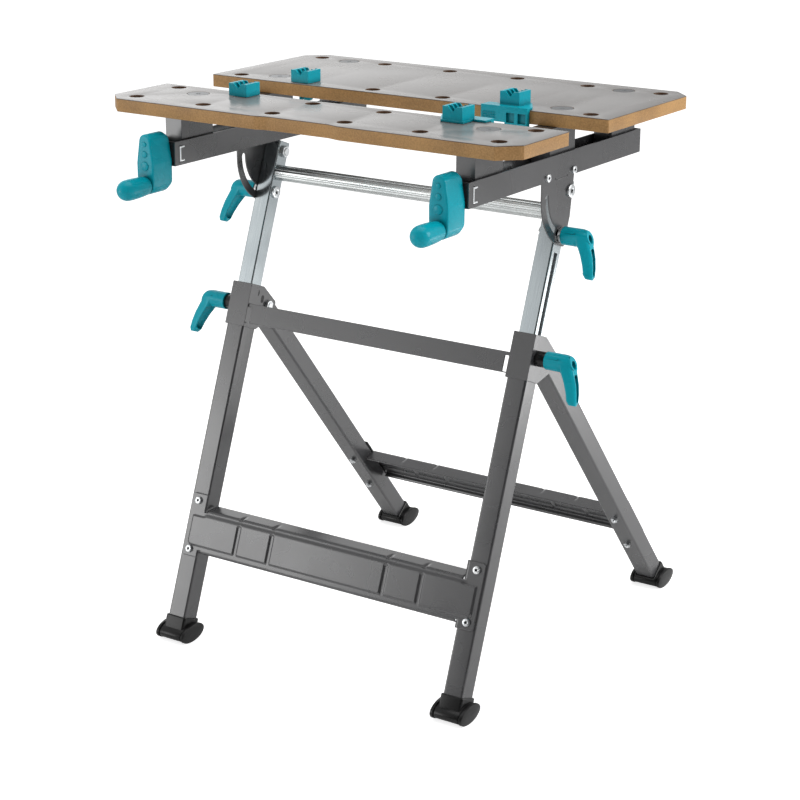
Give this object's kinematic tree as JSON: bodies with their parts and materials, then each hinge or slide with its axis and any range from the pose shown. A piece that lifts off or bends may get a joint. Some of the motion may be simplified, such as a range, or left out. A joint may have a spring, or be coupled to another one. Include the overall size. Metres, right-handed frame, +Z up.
{
  "type": "folding workbench",
  "caption": "Folding workbench: two laminated vise jaws on steel rails moved by hand cranks, on a tilting, height-adjustable frame with folding rear legs and bench dogs.",
  "frame": {"origin": "on the floor, under the middle of the bounding box", "axes": "+Z up, +X along the jaws to the right as seen by the operator, +Y away from the operator, who stands on the -Y side by the cranks"},
  "size_m": [0.6476, 0.7, 0.8058],
  "materials": {
    "laminated_board": "medium-density fibreboard with a satin grey laminate on top",
    "grey_powder_coat": "fine grey powder coat on sheet and tube",
    "zinc_steel": "bright zinc plate",
    "dark_steel": "dark coated steel",
    "teal_plastic": "moulded nylon, fine satin grain",
    "black_plastic": "soft black moulded plastic"
  },
  "bodies": {
    "base": {"front_leg_left": "grey_powder_coat", "front_leg_right": "grey_powder_coat", "collar_left": "grey_powder_coat", "collar_right": "grey_powder_coat", "front_crossbar": "grey_powder_coat", "front_panel": "grey_powder_coat", "front_foot_left": "black_plastic", "front_foot_right": "black_plastic", "height_stud_left": "zinc_steel", "height_stud_right": "zinc_steel", "height_bushing_left": "black_plastic", "height_bushing_right": "black_plastic", "rear_pivot_bolt_left": "zinc_steel", "rear_pivot_bolt_right": "zinc_steel"},
    "rear_frame": {"rear_leg_left": "grey_powder_coat", "rear_leg_right": "grey_powder_coat", "rear_panel": "grey_powder_coat", "rear_foot_left": "black_plastic", "rear_foot_right": "black_plastic"},
    "upper_frame": {"upper_leg_left": "zinc_steel", "upper_leg_right": "zinc_steel", "cross_tube": "zinc_steel", "pivot_bolt_left": "zinc_steel", "pivot_bolt_right": "zinc_steel", "tilt_stud_left": "zinc_steel", "tilt_stud_right": "zinc_steel"},
    "table": {"rail_left": "grey_powder_coat", "rail_right": "grey_powder_coat", "thrust_plate_left": "dark_steel", "thrust_plate_right": "dark_steel", "rear_jaw": "laminated_board", "rear_jaw_front_bracket_left": "grey_powder_coat", "rear_jaw_front_bracket_right": "grey_powder_coat", "rear_jaw_back_bracket_left": "grey_powder_coat", "rear_jaw_back_bracket_right": "grey_powder_coat", "rear_jaw_front_bolt_left": "zinc_steel", "rear_jaw_front_bolt_right": "zinc_steel", "rear_jaw_back_bolt_left": "zinc_steel", "rear_jaw_back_bolt_right": "zinc_steel"},
    "moving_jaw": {"front_jaw": "laminated_board", "front_jaw_bracket_left": "grey_powder_coat", "front_jaw_bracket_right": "grey_powder_coat", "front_jaw_bolt_left": "zinc_steel", "front_jaw_bolt_right": "zinc_steel"},
    "screw_left": {"vise_screw_left": "zinc_steel", "crank_left": "teal_plastic"},
    "screw_right": {"vise_screw_right": "zinc_steel", "crank_right": "teal_plastic"},
    "knob_left": {"crank_knob_left": "teal_plastic"},
    "knob_right": {"crank_knob_right": "teal_plastic"},
    "tilt_clamp_left": {"tilt_lever_left": "teal_plastic"},
    "tilt_clamp_right": {"tilt_lever_right": "teal_plastic"},
    "height_clamp_left": {"height_lever_left": "teal_plastic"},
    "height_clamp_right": {"height_lever_right": "teal_plastic"},
    "front_left_dog": {"dog_front_left": "teal_plastic"},
    "rear_left_dog": {"dog_rear_left": "teal_plastic"},
    "front_right_dog": {"pad_dog_front_right": "teal_plastic"},
    "rear_right_dog": {"pad_dog_rear_right": "teal_plastic"}
  },
  "joints": [
    {"name": "height_slide", "type": "slide", "parent": "base", "child": "upper_frame", "axis": [0, 0.3486, 0.9373], "range_m": [-0.08, 0.08]},
    {"name": "table_tilt", "type": "hinge", "parent": "upper_frame", "child": "table", "pos_m": [0, -0.00097, 0.67751], "axis": [1, 0, 0], "range_deg": [0, 60]},
    {"name": "rear_fold", "type": "hinge", "parent": "base", "child": "rear_frame", "pos_m": [0, -0.04922, 0.45881], "axis": [-1, 0, 0], "range_deg": [0, 58]},
    {"name": "crank_right_turn", "type": "hinge", "parent": "table", "child": "screw_right", "pos_m": [0.232, -0.26197, 0.71501], "axis": [0, 1, 0], "range_deg": [0, 5775]},
    {"name": "crank_left_turn", "type": "hinge", "parent": "table", "child": "screw_left", "pos_m": [-0.232, -0.26197, 0.71501], "axis": [0, 1, 0], "range_deg": [0, 5775]},
    {"name": "jaw_slide", "type": "slide", "parent": "table", "child": "moving_jaw", "axis": [0, 1, 0], "range_m": [0, 0.08]},
    {"name": "knob_left_spin", "type": "hinge", "parent": "screw_left", "child": "knob_left", "pos_m": [-0.232, -0.31897, 0.67701], "axis": [0, 1, 0], "continuous": true},
    {"name": "knob_right_spin", "type": "hinge", "parent": "screw_right", "child": "knob_right", "pos_m": [0.232, -0.31897, 0.67701], "axis": [0, 1, 0], "continuous": true},
    {"name": "tilt_lever_left_turn", "type": "hinge", "parent": "upper_frame", "child": "tilt_clamp_left", "pos_m": [-0.26, -0.02195, 0.62108], "axis": [1, 0, 0], "range_deg": [-90, 90]},
    {"name": "height_lever_left_turn", "type": "hinge", "parent": "base", "child": "height_clamp_left", "pos_m": [-0.275, -0.08023, 0.46437], "axis": [1, 0, 0], "range_deg": [-90, 90]},
    {"name": "tilt_lever_right_turn", "type": "hinge", "parent": "upper_frame", "child": "tilt_clamp_right", "pos_m": [0.26, -0.02195, 0.62108], "axis": [1, 0, 0], "range_deg": [-90, 90]},
    {"name": "height_lever_right_turn", "type": "hinge", "parent": "base", "child": "height_clamp_right", "pos_m": [0.275, -0.08023, 0.46437], "axis": [1, 0, 0], "range_deg": [-90, 90]},
    {"name": "dog_front_left_turn", "type": "hinge", "parent": "moving_jaw", "child": "front_left_dog", "pos_m": [-0.1716, -0.15697, 0.78501], "axis": [0, 0, 1], "continuous": true},
    {"name": "dog_rear_left_turn", "type": "hinge", "parent": "table", "child": "rear_left_dog", "pos_m": [-0.1716, -0.01507, 0.78501], "axis": [0, 0, 1], "continuous": true},
    {"name": "pad_dog_front_right_lift", "type": "slide", "parent": "moving_jaw", "child": "front_right_dog", "axis": [0, 0, 1], "range_m": [0, 0.045]},
    {"name": "pad_dog_rear_right_lift", "type": "slide", "parent": "table", "child": "rear_right_dog", "axis": [0, 0, 1], "range_m": [0, 0.045]}
  ],
  "couplings": [
    {"joint": "crank_right_turn", "follows": "jaw_slide", "rad_per_m": 1256.6},
    {"joint": "crank_left_turn", "follows": "jaw_slide", "rad_per_m": 1256.6}
  ]
}
